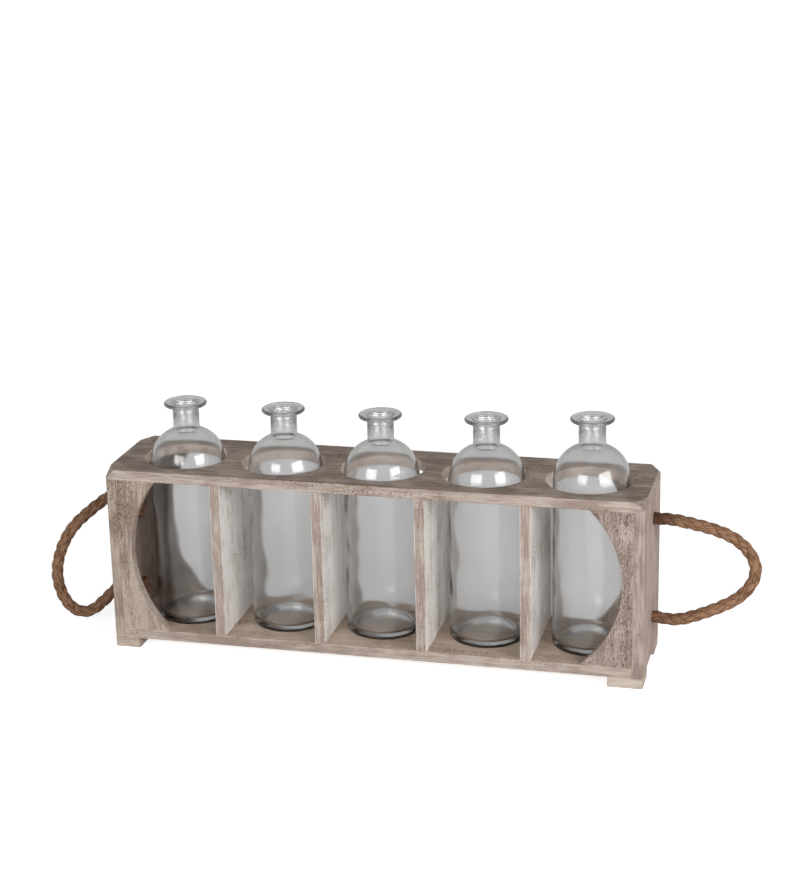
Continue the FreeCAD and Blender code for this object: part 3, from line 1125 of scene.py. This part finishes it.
@dataclass
class Handle:
    """One rope handle: its free loop, and the two knots behind the end panel."""

    end: End
    rope: Rope
    route: list[tuple[float, float]]
    swing: float
    fibre_count: int = 90
    panel_face: float = 260 * MM
    panel_inside: float = 250 * MM
    swing_reach: float = 6.3 * MM
    offset: float = 8 * MM
    upper: float = 146 * MM
    lower: float = 47 * MM
    in_hole: float = 5 * MM
    knot_place: Point = (239.2 * MM, 31.67 * MM, 139 * MM)
    knot_turn_radius: float = 6.4 * MM
    knot_turns: float = 1.6
    knot_rope_radius: float = 4.4 * MM
    squeezed_radius: float = 5.1 * MM
    tail: float = 20 * MM

    @property
    def name(self) -> str:
        """The end's name."""
        return self.end.name.lower()

    def outside_line(self) -> list[Vector]:
        """The free loop's middle line, from inside the upper hole to inside the lower one."""
        sign = self.end.value
        swing = math.radians(self.swing)
        pivot = Vector((sign * (self.panel_face + self.swing_reach), sign * self.offset, 0.0))
        along = Vector((sign * math.cos(swing), sign * math.sin(swing), 0.0))

        def straight(out: float, level: float) -> Vector:
            """A point straight out of a hole."""
            return Vector((sign * (self.panel_face + out), sign * self.offset, level))

        loop = [
            pivot + along * (out * MM - self.swing_reach) + Vector((0, 0, up * MM))
            for out, up in self.route
        ]
        points = [
            straight(-self.in_hole, self.upper), straight(0.0, self.upper),
            straight(self.swing_reach, self.upper), *loop,
            straight(self.swing_reach, self.lower), straight(0.0, self.lower),
            straight(-self.in_hole, self.lower),
        ]
        return along_spline(points, self.rope.step)

    def add_loop(self, material: bpy.types.Material) -> None:
        """Adds the free loop and its loose fibres."""
        line = self.outside_line()
        piece = add_piece(f"rope_loop_{self.name}", self.rope.mesh(line), material)
        fibres = self.rope.fibres(
            f"rope_fibres_{self.name}", line, self.fibre_count, 5 + self.end.value, material
        )
        for part in (piece, fibres):
            f"handle_{self.name}"
            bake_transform(part)
        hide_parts(f"rope_handle_{self.name}")
        length_of(line)
        log.info("rope_loop_%s: %.1f mm long", self.name, length_of(line) / MM)

    def knot_line(self, is_upper: bool) -> list[Vector]:
        """The rope's middle line from the hole into its knot and out at the tail.

        Args:
            is_upper: Whether it is the knot of the upper hole.

        Returns:
            The points at even steps.
        """
        knot = Vector(self.knot_place)
        level = self.upper
        elbow = self.panel_inside - 0.3 * MM - self.squeezed_radius
        points = [
            Vector((self.panel_face - self.in_hole, self.offset, level)),
            Vector((self.panel_inside - 1 * MM, self.offset, level)),
            Vector((elbow + 1 * MM, self.offset + 0.5 * MM, level)),
            Vector((elbow, self.offset + 6 * MM, level - 0.5 * MM)),
            Vector((elbow + 0.6 * MM, knot.y - 8 * MM, knot.z + 5.5 * MM)),
        ]
        count = 8 * self.knot_turns
        for i in range(1, round(count)):
            turn = math.tau * i / 8 - math.tau / 16
            drop = 5.0 * MM - 12.0 * MM * i / count
            points.append(knot + Vector((
                self.knot_turn_radius * math.cos(turn), self.knot_turn_radius * math.sin(turn), drop,
            )))
        points += [
            knot + Vector((-2.5 * MM, -1.5 * MM, -8.3 * MM)), knot + Vector((0.5 * MM, 0, -6.5 * MM)),
            knot + Vector((0, 0, 2 * MM)), knot + Vector((-0.6 * MM, 0.5 * MM, 12 * MM)),
            knot + Vector((0.3 * MM, 1.2 * MM, self.tail)),
        ]
        line = along_spline(points, self.rope.step)
        if not is_upper:
            line = [Vector((p.x, p.y, self.upper + self.lower - p.z)) for p in line]
        return [Vector((self.end.value * p.x, self.end.value * p.y, p.z)) for p in line]

    def add_knots(self, material: bpy.types.Material) -> list[bpy.types.Object]:
        """Adds the two knots, each with the rope through its hole.

        Args:
            material: Their finish.

        Returns:
            The pieces.
        """
        made = []
        for level, is_upper in (("upper", True), ("lower", False)):
            line = self.knot_line(is_upper)
            whole = length_of(line)
            radii, run = [], 0.0
            for a, b in zip(line[:1] + line, line):
                run += (b - a).length
                thin = min(1.0, max(0.0, (run - 6 * MM) / (24 * MM)))
                radii.append(self.rope.radius + (self.knot_rope_radius - self.rope.radius) * thin)
            radii[-1] *= 1.1
            name = f"knot_{self.name}_{level}"
            piece = add_piece(name, self.rope.mesh(line, radii), material)
            frayed = Rope(radius=self.knot_rope_radius).fibres(
                f"{name}_fray", line, 30, 11 + len(made), material, ragged_end=True
            )
            for part in (piece, frayed):
                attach(part, "crate")
            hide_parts(f"rope_knot_{self.name}_{level}")
            log.info("%s: %.0f mm of rope", name, whole / MM)
            made += [piece, frayed]
        return made


LEFT_ROUTE = [
    (22, 136), (38.5, 123.5), (54.5, 109), (66.5, 89.5), (73.5, 68), (73.5, 47), (67, 28.5),
    (56, 17.5), (42, 17.5), (28, 29.5), (16, 42),
]
RIGHT_ROUTE = [
    (18, 146), (36, 143), (55.5, 139), (74, 132.3), (88.4, 120.5), (96.5, 104.5), (93.2, 87),
    (80.5, 71.5), (63, 61), (44, 52.5), (27, 46), (14.5, 45.5),
]


@dataclass(frozen=True)
class Softbox:
    """One tall soft lamp, placed round the crate by its bearing and height in degrees."""

    name: str
    bearing: float
    elevation: float
    distance: float
    width: float
    height: float
    watts: float

    def add(self, target: Vector) -> None:
        """Hangs the lamp and turns it to the target."""
        turn, lift = math.radians(self.bearing), math.radians(self.elevation)
        way = Vector((
            math.cos(turn) * math.cos(lift), math.sin(turn) * math.cos(lift), math.sin(lift),
        ))
        lamp = bpy.data.lights.new(self.name, "AREA")
        lamp.shape = "RECTANGLE"
        lamp.size, lamp.size_y = self.width, self.height
        lamp.energy = self.watts
        item = bpy.data.objects.new(self.name, lamp)
        item.location = target + way * self.distance
        item.rotation_euler = way.to_track_quat("Z", "Y").to_euler()
        item.visible_camera = False
        bpy.context.scene.collection.objects.link(item)


@dataclass
class Studio:
    """The photograph's camera, two tall soft lamps, and a plain pale floor under a white world."""

    camera_place: Point = (0.48354, -1.79518, 0.80292)
    heading: float = 14.5097
    tilt: float = 72.3045
    roll: float = -1.2677
    lens: float = 83.965
    floor_size: float = 14.0
    ambient: float = 0.22
    backdrop: float = 0.52
    target: Point = (0.0, 0.0, 0.12)
    lamps: tuple[Softbox, ...] = (
        Softbox("left_softbox", -106.0, 17.0, 2.2, 1.25, 0.95, 25.0),
        Softbox("right_softbox", -33.0, 17.0, 2.2, 1.25, 0.95, 29.0),
    )

    def add_camera(self) -> None:
        """Sets up the photograph's camera."""
        data = bpy.data.cameras.new("camera")
        data.lens = self.lens
        camera = bpy.data.objects.new("camera", data)
        turns = (
            Matrix.Rotation(math.radians(self.heading), 4, "Z")
            @ Matrix.Rotation(math.radians(self.tilt), 4, "X")
            @ Matrix.Rotation(math.radians(self.roll), 4, "Z")
        )
        camera.matrix_world = Matrix.Translation(self.camera_place) @ turns
        bpy.context.scene.collection.objects.link(camera)
        bpy.context.scene.camera = camera

    def add_world(self) -> None:
        """White to the eye, in reflections and through glass, and a low even light elsewhere."""
        world = bpy.data.worlds.new("world")
        bpy.context.scene.world = world
        shader = Shader(world)
        height = shader.parts(shader.node("TexCoord", output="Generated"))[2]
        paths = shader.node("LightPath").socket.node
        seen = {name: Wire(shader, paths.outputs[f"Is {name} Ray"]) for name in (
            "Camera", "Glossy", "Transmission",
        )}
        ceiling = height.ramp(0.45, 0.8)
        seen_through = seen["Transmission"]
        mirrored = seen["Glossy"] * (1 - seen_through)
        strength = seen["Camera"] + mirrored * (0.5 + 0.3 * ceiling) + seen_through * self.backdrop
        rest = (1 - seen["Camera"].most(mirrored).most(seen_through)) * self.ambient
        light = shader.node("Background", inputs={"Color": (1, 1, 1, 1), "Strength": strength + rest})
        shader.node("OutputWorld", inputs={"Surface": light})

    def add_floor(self) -> None:
        """A pale floor that reads as white and keeps the crate's shadow."""
        mesh = bmesh.new()
        bmesh.ops.create_grid(mesh, x_segments=1, y_segments=1, size=self.floor_size / 2)
        data = bpy.data.meshes.new("floor")
        mesh.to_mesh(data)
        mesh.free()
        floor = bpy.data.objects.new("floor", data)
        bpy.context.scene.collection.objects.link(floor)
        shader = new_shader("pale_floor")
        x, y, _ = shader.parts(shader.place())
        far = ((x ** 2 + y ** 2) ** 0.5).ramp(0.5, 2.0)
        paths = shader.node("LightPath").socket.node
        camera, glossy, through = [
            Wire(shader, paths.outputs[f"Is {name} Ray"]) for name in ("Camera", "Glossy", "Transmission")
        ]
        glow = (camera * (0.72 + 0.3 * far)).most(glossy * (0.31 + 0.2 * far) * (1 - through))
        glow = glow.most(through * (0.21 + 0.15 * far))
        cloth = shader.node("BsdfDiffuse", inputs={"Color": (0.86, 0.86, 0.86, 1)})
        lit = shader.node("Emission", inputs={"Color": (1, 1, 1, 1), "Strength": glow})
        both = shader.node("AddShader", inputs={0: cloth, 1: lit})
        data.materials.append(shader.finish(both))

    def build(self) -> None:
        """Sets the whole studio up."""
        self.add_camera()
        self.add_world()
        self.add_floor()
        for lamp in self.lamps:
            lamp.add(Vector(self.target))
        bpy.context.scene.view_settings.view_transform = "Standard"


def main() -> None:
    """Builds the studio, then the ropes, the crate and the bottles."""
    logging.basicConfig(level=logging.INFO, format="%(name)s: %(message)s")
    Studio().build()
    rope = Rope()
    for end, route, swing, shade in (
        (End.LEFT, LEFT_ROUTE, 15.0, 0.3), (End.RIGHT, RIGHT_ROUTE, 0.0, 0.0),
    ):
        jute = Jute().material(f"jute_{end.name.lower()}", shade)
        handle = Handle(end, rope, route, swing)
        handle.add_loop(jute)
        handle.add_knots(jute)
    Crate().build()
    glass = ClearGlass().material()
    for number in range(1, 6):
        Bottle(number, glass).build()


if __name__ == "__main__":
    main()
